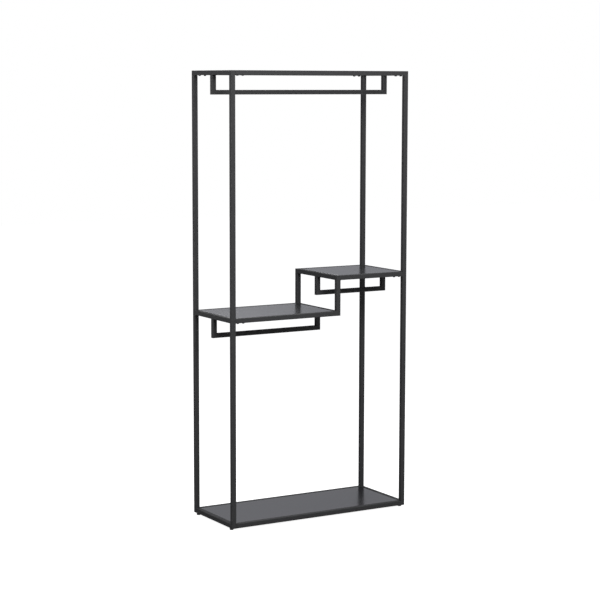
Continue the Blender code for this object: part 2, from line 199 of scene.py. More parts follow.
class MeshMaker:
    """Collects vertices and faces of one piece, with an edge value on every vertex."""

    def __init__(self) -> None:
        """Starts an empty mesh with the layer that the edge mask reads, which lightens edges as rubbed coat and
        as a painted highlight.
        """
        self.mesh = bmesh.new()
        self.edge = self.mesh.verts.layers.float.new(EDGE_ATTRIBUTE)

    def vertex(self, place: Sequence[float], edge: float = 0.0) -> bmesh.types.BMVert:
        """Adds a vertex.

        Args:
            place: Its position in metres.
            edge: 1 on an outer edge of the piece, falling to 0 on its flats.

        Returns:
            The vertex.
        """
        made = self.mesh.verts.new(place)
        made[self.edge] = edge
        return made

    def face(self, corners: Sequence[bmesh.types.BMVert]) -> bmesh.types.BMFace:
        """Adds a face through corners in order."""
        return self.mesh.faces.new(corners)

    def skin(self, loops: Sequence[Loop]) -> None:
        """Joins each closed loop to the next with quads.

        Args:
            loops: Loops of equal length, in order along the piece.
        """
        for first, second in zip(loops[:-1], loops[1:]):
            for index in range(len(first)):
                following = (index + 1) % len(first)
                self.face((first[index], first[following], second[following], second[index]))

    def closed_skin(self, loops: Sequence[Loop]) -> None:
        """Joins loops with quads and closes both ends.

        Args:
            loops: Loops of equal length, in order along the piece.
        """
        self.skin(loops)
        self.face(loops[0])
        self.face(loops[-1])

    def ring(self, centre: Vector, height: float, sides: int, radius: Callable[[float], float],
             edge: float = 0.0) -> Loop:
        """Adds a loop round a vertical axis.

        Args:
            centre: Point on the axis at height zero.
            height: Height of the loop.
            sides: Vertices in it.
            radius: Gives the radius at each part of a turn.
            edge: Edge value of the whole loop.

        Returns:
            The loop.
        """
        made = []
        for index in range(sides):
            angle, reach = FULL_TURN * index / sides, radius(index / sides)
            offset = Vector((reach * math.cos(angle), reach * math.sin(angle), height))
            made.append(self.vertex(centre + offset, edge))
        return made

    def turned(self, profile: Profile, sides: int, centre: Vector, rim: int = 0) -> list[Loop]:
        """Adds round loops.

        Args:
            profile: Radius and height of each loop.
            sides: Vertices in a loop.
            centre: Point on the axis at height zero.
            rim: How many of the last loops have edge value 1.

        Returns:
            The loops, one for each profile point.
        """
        first_rim = len(profile) - rim
        return [self.ring(centre, height, sides, lambda _, reach=reach: reach, float(index >= first_rim))
                for index, (reach, height) in enumerate(profile)]

    def block(self, low: Vector, high: Vector, chamfer: float) -> None:
        """Adds a box with chamfered edges.

        Args:
            low: Lowest corner.
            high: Highest corner.
            chamfer: Width of the chamfers.
        """
        made = bmesh.ops.create_cube(self.mesh, size=1.0)["verts"]
        size, middle = high - low, (low + high) / 2.0
        for corner in made:
            corner.co = Vector([corner.co[axis] * size[axis] for axis in range(3)]) + middle
        edges = {edge for corner in made for edge in corner.link_edges}
        bmesh.ops.bevel(self.mesh, geom=list(edges), offset=chamfer, segments=1, affect="EDGES")

    def finish(self, name: str, material: Material) -> Piece:
        """Closes the mesh and makes it an object at the world's origin.

        Args:
            name: The object's name.
            material: What it is made of.

        Returns:
            The object.
        """
        bmesh.ops.recalc_face_normals(self.mesh, faces=self.mesh.faces)
        data = bpy.data.meshes.new(name)
        self.mesh.to_mesh(data)
        self.mesh.free()
        data.shade_smooth()
        data.set_sharp_from_angle(angle=SMOOTH_ANGLE)
        data.materials.append(material)
        return place_object(name, data)


def evaluated_copy(source: Piece, name: str) -> Piece:
    """Turns an object with modifiers into a plain mesh object and removes the source.

    Args:
        source: The object whose evaluated mesh is wanted.
        name: Name of the new object.

    Returns:
        A plain mesh object at the world's origin.
    """
    graph = bpy.context.evaluated_depsgraph_get()
    data = bpy.data.meshes.new_from_object(source.evaluated_get(graph))
    bpy.data.objects.remove(source, do_unlink=True)
    data.name = name
    return place_object(name, data)


def cut(part: Piece, cutter: Piece) -> Piece:
    """Cuts one piece with another, which is then removed.

    Args:
        part: The piece to cut.
        cutter: A closed mesh.

    Returns:
        The cut piece, under the same name.
    """
    modifier = part.modifiers.new("cut", "BOOLEAN")
    modifier.operation = "DIFFERENCE"
    modifier.solver = "EXACT"
    modifier.object = cutter
    name = part.name
    part.name = name + "_uncut"
    made = evaluated_copy(part, name)
    bpy.data.objects.remove(cutter, do_unlink=True)
    return made


def dress(piece: Piece, nodes: Iterable[str] = (), body: str = RACK_BODY) -> None:
    """Tells the frame what a finished piece rides on and what it stands for.

    Args:
        piece: The finished piece.
        nodes: Nodes of the frame that it replaces.
        body: The body that it rides on.
    """
    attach(piece, body)
    for node in nodes:
        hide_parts(node)
    log.info("%s: %d faces", piece.name, len(piece.data.polygons))


# ------------------------------------------------------------------ node trees
def typed(sockets: Iterable[Socket], kind: str) -> list[Socket]:
    """Those of a node's sockets that carry one kind of value."""
    return [socket for socket in sockets if socket.type == kind]


class NodeGraph:
    """Adds nodes to a tree and links them."""

    def __init__(self, tree: bpy.types.NodeTree) -> None:
        """Keeps the tree."""
        self.tree = tree

    def link(self, source: Socket, target: Socket) -> None:
        """Links two sockets."""
        self.tree.links.new(source, target)

    def put(self, socket: Socket, value: object) -> None:
        """Links or sets one input.

        Args:
            socket: The input.
            value: A socket, a number, a vector or a colour of three channels.
        """
        if isinstance(value, Socket):
            self.link(value, socket)
        else:
            socket.default_value = (*value, 1.0) if socket.type == "RGBA" else value

    def feed(self, node: bpy.types.Node, values: Sequence[object] | dict[str, object]) -> None:
        """Links or sets some of a node's inputs.

        Args:
            node: The node.
            values: Values from the first input on, or by name.
        """
        for key, value in values.items() if isinstance(values, dict) else enumerate(values):
            self.put(node.inputs[key], value)

    def add(self, kind: str, values: Sequence[object] | dict[str, object] = (),
            **settings: object) -> bpy.types.Node:
        """Adds a node.

        Args:
            kind: The node's type, such as ShaderNodeMath.
            values: Its inputs, as in feed.
            settings: Properties to set on it first.

        Returns:
            The node.
        """
        node = self.tree.nodes.new(kind)
        for key, value in settings.items():
            setattr(node, key, value)
        self.feed(node, values)
        return node

    def math(self, operation: str, *values: object, clamp: bool = False) -> Socket:
        """Result of a math node on sockets or numbers."""
        return self.add("ShaderNodeMath", values, operation=operation, use_clamp=clamp).outputs[0]

    def ramp(self, value: Socket, reach: tuple[float, float], start: float = 0.0, end: float = 1.0) -> Socket:
        """Maps a value smoothly, from start at the low end of its reach to end at the high one."""
        node = self.add("ShaderNodeMapRange", (value, *reach, start, end), interpolation_type="SMOOTHSTEP")
        return node.outputs[0]

    def noise(self, vector: Socket, scale: Socket | float, detail: float, roughness: float = 0.5) -> Socket:
        """Factor of a noise texture, with its scale in features to the metre."""
        values = {"Vector": vector, "Scale": scale, "Detail": detail, "Roughness": roughness}
        return self.add("ShaderNodeTexNoise", values).outputs["Fac"]

    def mix(self, factor: Socket, first: Socket | Colour, second: Socket | Colour) -> Socket:
        """Mixes two colours.

        Args:
            factor: 0 for the first, 1 for the second.
            first: A colour or a socket.
            second: A colour or a socket.

        Returns:
            The mixed colour.
        """
        node = self.add("ShaderNodeMix", {"Factor": factor}, data_type="RGBA")
        for socket, value in zip(typed(node.inputs, "RGBA"), (first, second)):
            self.put(socket, value)
        return typed(node.outputs, "RGBA")[0]


class NamedTree:
    """A node tree with named inputs and outputs."""

    def __init__(self, name: str, kind: str, inputs: dict[str, str], outputs: dict[str, str]) -> None:
        """Makes the tree and its sockets.

        Args:
            name: The tree's name.
            kind: The tree's type.
            inputs: What each input carries, such as Float.
            outputs: What each output carries.
        """
        self.tree = bpy.data.node_groups.new(name, kind)
        self.keys = {key: self.socket(key, "INPUT", carried) for key, carried in inputs.items()}
        for key, carried in outputs.items():
            self.socket(key, "OUTPUT", carried)
        self.graph = NodeGraph(self.tree)
        self.inputs = self.graph.add("NodeGroupInput").outputs
        self.outputs = self.graph.add("NodeGroupOutput").inputs

    def socket(self, key: str, way: str, carried: str) -> str:
        """Makes a socket of the tree and gives its identifier."""
        kind = f"NodeSocket{carried}"
        return self.tree.interface.new_socket(key, in_out=way, socket_type=kind).identifier


# ------------------------------------------------------------------ effects and finishes
class Effect(NamedTree):
    """A shader node group, made once and placed in each material with its own values."""

    title: str
    knobs: tuple[str, ...]
    results: tuple[str, ...]
    made: dict[str, bpy.types.NodeTree] = {}

    def __init__(self) -> None:
        """Makes the group's sockets and wires it."""
        inputs = {"Vector": "Vector", **dict.fromkeys(self.knobs, "Float")}
        super().__init__(self.title, "ShaderNodeTree", inputs, dict.fromkeys(self.results, "Float"))
        self.wire()

    def wire(self) -> None:
        """Joins the group's inputs to its outputs."""
        raise NotImplementedError

    def scale_of(self, knob: str) -> Socket:
        """Features to the metre, from an input that gives their size."""
        return self.graph.math("DIVIDE", 1.0, self.inputs[knob])

    @classmethod
    def place(cls, graph: NodeGraph, *values: object) -> bpy.types.Node:
        """Places the group in a material.

        Args:
            graph: The material's graph.
            values: Coordinates, then a value for each knob.

        Returns:
            The group node.
        """
        if cls.title not in cls.made:
            cls.made[cls.title] = cls().tree
        return graph.add("ShaderNodeGroup", values, node_tree=cls.made[cls.title])


class PowderGrain(Effect):
    """Orange peel and fine sand of a baked powder coat: a height and a light tone."""

    title = "powder_grain"
    knobs = ("Grain Size", "Peel Size")
    results = ("Height", "Tone")
    sand_smoothness = 0.6
    grain_detail, peel_detail = (3.0, 0.65), 1.0  # octaves, and how strong the finer ones are
    grain_share, sand_share, peel_share = 0.55, -0.45, 0.8
    tone_reach = (0.35, 0.75)

    def wire(self) -> None:
        """Adds up fine grain, round sand and wide peel."""
        graph, vector = self.graph, self.inputs["Vector"]
        grain_scale = self.scale_of("Grain Size")
        grain = graph.noise(vector, grain_scale, *self.grain_detail)
        sand = graph.add("ShaderNodeTexVoronoi", {"Vector": vector, "Scale": grain_scale}, feature="SMOOTH_F1")
        sand.inputs["Smoothness"].default_value = self.sand_smoothness
        peel = graph.noise(vector, self.scale_of("Peel Size"), self.peel_detail)
        bumps = graph.math("MULTIPLY", sand.outputs["Distance"], self.sand_share)
        fine = graph.math("ADD", graph.math("MULTIPLY", grain, self.grain_share), bumps)
        height = graph.math("ADD", fine, graph.math("MULTIPLY", peel, self.peel_share))
        graph.link(height, self.outputs["Height"])
        graph.link(graph.ramp(grain, self.tone_reach), self.outputs["Tone"])


class EdgeWearAndHighlight(Effect):
    """Mask where the coat is drawn thin over an edge and rubbed, and where a highlight along the edge is
    painted in a lighter colour.
    """

    title = "edge_thinning"
    knobs = ("Edge", "Amount", "Patch Size")
    results = ("Mask",)
    patch_detail, patch_reach, patch_floor = (4.0, 0.6), (0.38, 0.66), 0.25
    edge_reach = (0.25, 1.0)

    def wire(self) -> None:
        """Breaks the edges up into patches."""
        graph = self.graph
        patches = graph.noise(self.inputs["Vector"], self.scale_of("Patch Size"), *self.patch_detail)
        broken = graph.ramp(patches, self.patch_reach, self.patch_floor, 1.0)
        sharp = graph.ramp(self.inputs["Edge"], self.edge_reach)
        both = graph.math("MULTIPLY", sharp, broken)
        mask = graph.math("MULTIPLY", both, self.inputs["Amount"], clamp=True)
        graph.link(mask, self.outputs["Mask"])


class CloudySheen(Effect):
    """Slow change of gloss over a coated sheet or tube, as from baking and wiping, about zero."""

    title = "cloudy_sheen"
    knobs = ("Cloud Size", "Strength")
    results = ("Change",)
    cloud_detail = (3.0, 0.55)
    noise_middle = 0.5

    def wire(self) -> None:
        """Centres a wide noise on zero."""
        graph = self.graph
        wide = graph.noise(self.inputs["Vector"], self.scale_of("Cloud Size"), *self.cloud_detail)
        centred = graph.math("SUBTRACT", wide, self.noise_middle)
        graph.link(graph.math("MULTIPLY", centred, self.inputs["Strength"]), self.outputs["Change"])


class HairlineRub(Effect):
    """Mask of fine lines across a rail where hangers slide along it."""

    title = "hairline_rub"
    knobs = ("Line Size", "Cover")
    results = ("Mask",)
    stretch = (0.04, 1.0, 1.0)
    patches_to_metre = 14.0
    line_detail, patch_detail = (2.0, 0.7), 2.0
    line_reach, patch_reach = (0.56, 0.7), (0.4, 0.65)

    def wire(self) -> None:
        """Draws out a fine noise and keeps it in patches."""
        graph, vector = self.graph, self.inputs["Vector"]
        drawn = graph.add("ShaderNodeMapping", {"Vector": vector, "Scale": self.stretch})
        lines = graph.noise(drawn.outputs[0], self.scale_of("Line Size"), *self.line_detail)
        patches = graph.noise(vector, self.patches_to_metre, self.patch_detail)
        both = graph.math("MULTIPLY", graph.ramp(lines, self.line_reach), graph.ramp(patches, self.patch_reach))
        graph.link(graph.math("MULTIPLY", both, self.inputs["Cover"]), self.outputs["Mask"])


@dataclass(frozen=True)
class Finish:
    """What every finish has: a name, a colour and how its surface scatters light."""

    name: str
    colour: Colour
    wear_and_highlight_colour: Colour
    roughness: float
    metallic: float = 0.0
    specular: float = 0.5
    grain_size: float = 0.0006
    peel_size: float = 0.004
    bump_height: float = 0.00004
    bump_strength: float = 0.6
    tone_depth: float = 0.25
    edge_amount: float = 0.5
    edge_gloss: float = -0.10
    edge_patch: float = 0.03
    cloud_size: float = 0.12
    cloud_strength: float = 0.06
    rub_cover: float = 0.0
    rub_gloss: float = 0.15
    rub_line: float = 0.0009

    def build(self) -> Material:
        """Makes the material.

        Returns:
            A node material that reads Object coordinates and the edge attribute.
        """
        material = bpy.data.materials.new(self.name)
        material.use_nodes = True
        graph = NodeGraph(material.node_tree)
        place = graph.add("ShaderNodeTexCoord").outputs["Object"]
        edge = graph.add("ShaderNodeAttribute", attribute_name=EDGE_ATTRIBUTE).outputs["Fac"]
        grain = PowderGrain.place(graph, place, self.grain_size, self.peel_size)
        wear_and_highlight_mask = EdgeWearAndHighlight.place(graph, place, edge, self.edge_amount, self.edge_patch).outputs["Mask"]
        cloud = CloudySheen.place(graph, place, self.cloud_size, self.cloud_strength)
        dark, light = (tuple(channel * (1.0 + depth) for channel in self.colour)
                       for depth in (-self.tone_depth, self.tone_depth))
        # painted highlight: the edge mask mixes in the lighter edge colour, partly for coat rubbed thin and
        # partly as a painted edge highlight; the hairline rub below is real rubbing
        colour = graph.mix(wear_and_highlight_mask, graph.mix(grain.outputs["Tone"], dark, light), self.wear_and_highlight_colour)
        rough = graph.math("ADD", graph.math("ADD", cloud.outputs["Change"], self.roughness),
                           graph.math("MULTIPLY", wear_and_highlight_mask, self.edge_gloss))
        if self.rub_cover > 0.0:
            rubbed = HairlineRub.place(graph, place, self.rub_line, self.rub_cover).outputs["Mask"]
            colour = graph.mix(rubbed, colour, self.wear_and_highlight_colour)
            rough = graph.math("SUBTRACT", rough, graph.math("MULTIPLY", rubbed, self.rub_gloss))
        bump = graph.add("ShaderNodeBump", {"Strength": self.bump_strength, "Distance": self.bump_height,
                                            "Height": grain.outputs["Height"]})
        graph.feed(material.node_tree.nodes["Principled BSDF"],
                   {"Base Color": colour, "Roughness": rough, "Metallic": self.metallic,
                    "Specular IOR Level": self.specular, "Normal": bump.outputs["Normal"]})
        return material


class Coat(Enum):
    """Every finish on the rack."""

    # Each finish's second colour is its lighter edge colour: coat rubbed thin there, and a painted edge
    # highlight.
    TUBE = Finish("black_powder_coat", (0.0300, 0.0300, 0.0310), (0.046, 0.046, 0.047), 0.70,
                  specular=0.11, edge_amount=0.35)
    HANGING = Finish("hanging_rail_coat", (0.0300, 0.0300, 0.0310), (0.060, 0.060, 0.062), 0.66,
                     specular=0.12, edge_amount=0.35, rub_cover=0.3)
    PANEL = Finish("satin_panel_coat", (0.010, 0.010, 0.0115), (0.034, 0.034, 0.037), 0.22,
                   grain_size=0.0009, peel_size=0.006, bump_height=0.000012, bump_strength=0.30,
                   cloud_size=0.20, cloud_strength=0.05, tone_depth=0.12)
    BOLT = Finish("black_oxide_steel", (0.018, 0.018, 0.020), (0.11, 0.11, 0.115), 0.36, metallic=0.85,
                  grain_size=0.0003, peel_size=0.002, bump_height=0.000012, edge_amount=0.7)
    NUT = Finish("zinc_plated_steel", (0.55, 0.55, 0.53), (0.70, 0.70, 0.68), 0.34, metallic=1.0,
                 grain_size=0.0004, peel_size=0.002, bump_height=0.00001, tone_depth=0.08)
    GLIDE = Finish("moulded_glide", (0.012, 0.012, 0.012), (0.030, 0.030, 0.030), 0.58,
                   grain_size=0.0004, bump_height=0.00002)
    PLUG = Finish("moulded_plug", (0.016, 0.016, 0.016), (0.030, 0.030, 0.030), 0.62,
                  grain_size=0.0005, bump_height=0.00002)

    @property
    def material(self) -> Material:
        """The material, made at its first use."""
        return bpy.data.materials.get(self.value.name) or self.value.build()


# ------------------------------------------------------------------ square tube
@dataclass(frozen=True)
class TubeProfile:
    """Cross-section of the rack's square tube."""

    size: float
    radius: float = 0.0018
    edge_band: float = 0.0009
    arc_steps: int = 6
    least_radius: float = 0.0002
    least_bore_radius: float = 0.0003

    def outline(self, inset: float = 0.0) -> Outline:
        """Outer outline, drawn in from the tube's faces by an inset."""
        half, radius = self.size / 2.0 - inset, max(self.radius - inset, self.least_radius)
        return rounded_outline(half, half, radius, self.edge_band, self.arc_steps)

    def bore(self) -> Outline:
        """Outline of the bore, with as many points as the outer outline."""
        inner = TubeProfile(self.size - 2.0 * TUBE_WALL, max(self.radius - TUBE_WALL, self.least_bore_radius))
        return [(across, up, 0.0) for across, up, _ in inner.outline()]


class TubeEnd(Enum):
    """How the last end of a tube is made."""

    OPEN = "open"
    PLATE = "plate"


@dataclass(frozen=True)
class Tube:
    """A square tube along a path, mitred at its corners."""

    node: str
    path: tuple[Vector, ...]
    side_axis: Vector
    profile: TubeProfile
    last_end: TubeEnd = TubeEnd.OPEN
    end_round: float = 0.00035
    plate_round: float = 0.0009
    round_steps: int = 3

    @classmethod
    def straight(cls, node: str, axis: Vector, side_axis: Vector,
                 reach: tuple[float, float] = (0.0, 0.0), **ends: object) -> "Tube":
        """Describes the tube that stands for a straight rail of the frame.

        Args:
            node: The rail's node.
            axis: Direction along it.
            side_axis: Direction across it.
            reach: How far its low and its high end go past the node's own.
            ends: How its ends are made, as in Tube.

        Returns:
            The tube.
        """
        box = Extent.of(node)
        half_length = box.size.dot(axis) / 2.0
        path = (box.centre - axis * (half_length + reach[0]), box.centre + axis * (half_length + reach[1]))
        return cls(node, path, side_axis, TubeProfile(box.size.dot(side_axis)), **ends)

    def heights(self) -> list[Vector]:
        """Direction that section heights follow at each point, stretched at mitres.

        Returns:
            One vector for each point of the path.
        """
        normals = [(end - start).normalized().cross(self.side_axis).normalized()
                   for start, end in zip(self.path[:-1], self.path[1:])]
        mitres = [(before + after) / (1.0 + before.dot(after))
                  for before, after in zip(normals[:-1], normals[1:])]
        return [normals[0], *mitres, normals[-1]]

    def loop(self, maker: MeshMaker, point: Vector, height: Vector, outline: Outline,
             edge: float | None = None) -> Loop:
        """Adds one section at a point, with the outline's edge values or one for all of it."""
        return [maker.vertex(point + self.side_axis * across + height * up, value if edge is None else edge)
                for across, up, value in outline]

    def end_loops(self, maker: MeshMaker, point: Vector, outward: Vector, height: Vector,
                  radius: float) -> list[Loop]:
        """Sections that round the outer edge of one end, from inside the tube to its face.

        Args:
            maker: The mesh to add to.
            point: Centre of the end face.
            outward: Direction out of the tube.
            height: Direction of the section's height.
            radius: Radius of the rounding.

        Returns:
            The sections in order toward the end face.
        """
        loops = [self.loop(maker, point - outward * (radius + self.profile.edge_band), height,
                           self.profile.outline())]
        for step in range(self.round_steps + 1):
            angle = QUARTER_TURN * step / self.round_steps
            outline = self.profile.outline(radius * (1.0 - math.cos(angle)))
            back = radius * (1.0 - math.sin(angle))
            loops.append(self.loop(maker, point - outward * back, height, outline, 1.0))
        return loops

    def add_to(self, maker: MeshMaker) -> None:
        """Adds the tube's outer skin, its bore and its ends.

        Args:
            maker: The mesh to add to.
        """
        heights, plated = self.heights(), self.last_end is TubeEnd.PLATE
        first_out = (self.path[0] - self.path[1]).normalized()
        last_out = (self.path[-1] - self.path[-2]).normalized()
        first = self.end_loops(maker, self.path[0], first_out, heights[0], self.end_round)
        last = self.end_loops(maker, self.path[-1], last_out, heights[-1],
                              self.plate_round if plated else self.end_round)
        middle = [self.loop(maker, point, height, self.profile.outline())
                  for point, height in zip(self.path[1:-1], heights[1:-1])]
        maker.skin(first[::-1] + middle + last)
        bore_points = [*self.path[:-1], self.path[-1] - last_out * (TUBE_WALL if plated else 0.0)]
        bore = [self.loop(maker, point, height, self.profile.bore())
                for point, height in zip(bore_points, heights)]
        maker.skin(bore)
        maker.skin([first[-1], bore[0]])
        if plated:
            maker.face(last[-1])
            maker.face(bore[-1])
        else:
            maker.skin([last[-1], bore[-1]])

    def build(self) -> Piece:
        """Makes the tube's object.

        Returns:
            The object.
        """
        maker = MeshMaker()
        self.add_to(maker)
        return maker.finish(f"coated_{self.node}", Coat.TUBE.material)


# ------------------------------------------------------------------ repeated parts by geometry nodes
class PartsTree(NamedTree):
    """A geometry node tree that turns marks into finished parts."""

    joined = False  # whether each two marks are the ends of a line

    def __init__(self, name: str, inputs: dict[str, str]) -> None:
        """Makes the tree and its sockets.

        Args:
            name: The tree's name.
            inputs: What each input of its own carries.
        """
        shared = {"Seed": "Int", "Material": "Material"}
        super().__init__(name, "GeometryNodeTree", {"Marks": "Geometry", **inputs, **shared},
                         {"Parts": "Geometry"})

    def chance(self, low: Socket | float, high: Socket | float) -> Socket:
        """Picks a number for each part.

        Args:
            low: The least it can be.
            high: The most it can be.

        Returns:
            The number.
        """
        node = self.graph.add("FunctionNodeRandomValue", {"Seed": self.inputs["Seed"]}, data_type="FLOAT")
        for socket, value in zip(typed(node.inputs, "VALUE"), (low, high)):
            self.graph.put(socket, value)
        return typed(node.outputs, "VALUE")[0]

    def close(self, values: dict[str, object]) -> None:
        """Puts the parts on their points and ends the tree with plain geometry of one material.

        Args:
            values: Points, part, turn and scale.
        """
        placed = self.graph.add("GeometryNodeInstanceOnPoints", values)
        real = self.graph.add("GeometryNodeRealizeInstances", (placed.outputs[0],))
        painted = self.graph.add("GeometryNodeSetMaterial", {"Geometry": real.outputs[0],
                                                             "Material": self.inputs["Material"]})
        self.graph.link(painted.outputs[0], self.outputs["Parts"])

    def grow(self, name: str, marks: Sequence[Vector], values: dict[str, object]) -> Piece:
        """Runs the tree on marks and keeps the result as a plain mesh.

        Args:
            name: Name of the result.
            marks: Where the parts go.
            values: Inputs by name.

        Returns:
            A plain mesh object.
        """
        data = bpy.data.meshes.new(f"{name}_marks")
        lines = [(index, index + 1) for index in range(0, len(marks), 2)] if self.joined else []
        data.from_pydata([tuple(mark) for mark in marks], lines, [])
        carrier = place_object(f"{name}_marks", data)
        modifier = carrier.modifiers.new(name, "NODES")
        modifier.node_group = self.tree
        for key, value in values.items():
            modifier[self.keys[key]] = value
        return evaluated_copy(carrier, name)


class BeadTree(PartsTree):
    """Weld bead: overlapping ripples along lines."""

    joined = True
    ripple_segments, ripple_rings = 10, 7
    flatness = 0.62

    def __init__(self) -> None:
        """Makes the tree."""
        super().__init__("weld_bead", {"Bead Radius": "Float", "Ripple Pitch": "Float", "Unevenness": "Float"})
        graph, inputs = self.graph, self.inputs
        lines = graph.add("GeometryNodeMeshToCurve", (inputs["Marks"],))
        points = graph.add("GeometryNodeCurveToPoints", mode="LENGTH")
        graph.feed(points, {"Curve": lines.outputs[0], "Length": inputs["Ripple Pitch"]})
        ripple = graph.add("GeometryNodeMeshUVSphere", {"Segments": self.ripple_segments,
                                                        "Rings": self.ripple_rings,
                                                        "Radius": inputs["Bead Radius"]})
        smooth = graph.add("GeometryNodeSetShadeSmooth", (ripple.outputs["Mesh"],))
        swell = self.chance(graph.math("SUBTRACT", 1.0, inputs["Unevenness"]),
                            graph.math("ADD", 1.0, inputs["Unevenness"]))
        scale = graph.add("ShaderNodeCombineXYZ", (swell, swell, self.flatness))
        self.close({"Points": points.outputs["Points"], "Instance": smooth.outputs[0],
                    "Rotation": points.outputs["Rotation"], "Scale": scale.outputs[0]})


class FastenerTree(PartsTree):
    """Copies of one fastener, each turned by chance as an assembler leaves it."""

    def __init__(self) -> None:
        """Makes the tree."""
        super().__init__("fasteners", {"Fastener": "Object", "Head Radius": "Float"})
        graph = self.graph
        pattern = graph.add("GeometryNodeObjectInfo", {"Object": self.inputs["Fastener"]})
        points = graph.add("GeometryNodeMeshToPoints", {"Mesh": self.inputs["Marks"]})
        turn = graph.add("ShaderNodeCombineXYZ", {"Z": self.chance(0.0, FULL_TURN)})
        self.close({"Points": points.outputs[0], "Instance": pattern.outputs["Geometry"],
                    "Rotation": turn.outputs[0], "Scale": self.inputs["Head Radius"]})


@dataclass(frozen=True)
class SocketHead:
    """Shape of a fastener with a hexagon socket, in head radii, with its seat at height zero."""

    name: str
    profile: tuple[tuple[float, float], ...]
    socket_radius: float
    socket_depth: float
    sides: int = 36
    socket_sides: int = 6
    lead: float = 0.035
    drill_point: float = 0.12

    def build(self, upward: bool) -> Piece:
        """Makes one fastener of head radius 1.

        Args:
            upward: Whether the head is on top.

        Returns:
            The pattern object.
        """
        sign = 1.0 if upward else -1.0
        maker = MeshMaker()
        loops = maker.turned([(radius, sign * height) for radius, height in self.profile], self.sides,
                             Vector(), rim=2)
        maker.skin(loops)
        maker.face(loops[0])
        top, floor = self.profile[-1][1], self.profile[-1][1] - self.socket_depth
        socket = ((self.socket_radius + self.lead, sign * top), (self.socket_radius, sign * (top - self.lead)),
                  (self.socket_radius, sign * floor))
        hexagons = maker.turned(socket, self.socket_sides, Vector())
        maker.skin(hexagons)
        point = maker.vertex((0.0, 0.0, sign * (floor - self.drill_point)))
        for index, corner in enumerate(hexagons[-1]):
            maker.face((corner, hexagons[-1][(index + 1) % self.socket_sides], point))
        self.join_to_hexagon(maker, loops[-1], hexagons[0])
        return maker.finish(self.name, Coat.BOLT.material)

    @staticmethod
    def join_to_hexagon(maker: MeshMaker, rim: Loop, hexagon: Loop) -> None:
        """Adds the flat between the round rim and the mouth of the socket.

        Args:
            maker: The mesh to add to.
            rim: Vertices of the rim.
            hexagon: Vertices of the mouth.
        """
        share = len(rim) // len(hexagon)
        middle = share // 2
        for index, corner in enumerate(hexagon):
            following = hexagon[(index + 1) % len(hexagon)]
            arc = [rim[(share * index + step) % len(rim)] for step in range(share + 1)]
            for step in range(share):
                maker.face((arc[step], arc[step + 1], corner if step < middle else following))
            maker.face((arc[middle], following, corner))


def domed_rim(band: float, height: float, top_radius: float, steps: int) -> list[tuple[float, float]]:
    """Rounded edge of a button head, from its upright band to its flat top.

    Args:
        band: Height of the upright band.
        height: Height of the head.
        top_radius: Radius of the flat top.
        steps: Facets in the dome.

    Returns:
        Radius and height of each loop.
    """
    angles = [QUARTER_TURN * step / steps for step in range(steps + 1)]
    return [(top_radius + (1.0 - top_radius) * math.cos(angle), band + (height - band) * math.sin(angle))
            for angle in angles]


BUTTON_HEAD = SocketHead("button_head_bolt",
                         ((0.52, -2.27), (0.57, -2.2), (0.57, 0.0), (0.97, 0.0), (1.0, 0.03),
                          *domed_rim(0.2, 0.629, 0.648, 6)), 0.44, 0.40)
COUNTERSUNK_HEAD = SocketHead("countersunk_screw",
                              ((0.42, -2.6), (0.5, -2.5), (0.5, -0.5), (0.98, -0.02), (0.98, 0.0)), 0.38, 0.45)


# ------------------------------------------------------------------ holes
def round_holes(centres: Iterable[Vector], profile: Profile) -> Piece:
    """Makes the cutter for equal round holes.

    Args:
        centres: Middle of each hole at the face that it is drilled from.
        profile: Radius and height of each loop of a hole, from that face.

    Returns:
        The cutter.
    """
    maker = MeshMaker()
    for centre in centres:
        maker.closed_skin(maker.turned(profile, HOLE_SIDES, centre))
    return maker.finish("round_holes", Coat.TUBE.material)


def countersink(head_radius: float, upward: bool) -> Profile:
    """Profile of a countersunk hole through a tube wall.

    Args:
        head_radius: Radius of the screw head.
        upward: Whether the head is on top of the rail.

    Returns:
        Radius and height of each loop.
    """
    sign = -1.0 if upward else 1.0
    clearance, lip, shank_share, cone_share = 0.00015, 0.00005, 0.53, 0.5
    mouth = head_radius + clearance
    shank = mouth * shank_share
    return [(mouth, -sign * CUT_ABOVE), (mouth, sign * lip), (shank, sign * mouth * cone_share),
            (shank, sign * CUT_DEPTH)]


def cross_rail(node: str, cutter: Piece | None = None) -> None:
    """Makes a rail along Y, let into the welds at both ends.

    Args:
        node: The rail's node.
        cutter: Its holes, or none for one countersunk screw hole in the middle of its upper face.
    """
    if cutter is None:
        box = Extent.of(node)
        cutter = round_holes([Vector((box.centre.x, 0.0, box.high.z))], countersink(SCREW_HEAD_RADIUS, True))
    tube = Tube.straight(node, Y_AXIS, X_AXIS, (WELD_DEPTH, WELD_DEPTH), end_round=WELDED_END_ROUND)
    dress(cut(tube.build(), cutter), (node,))


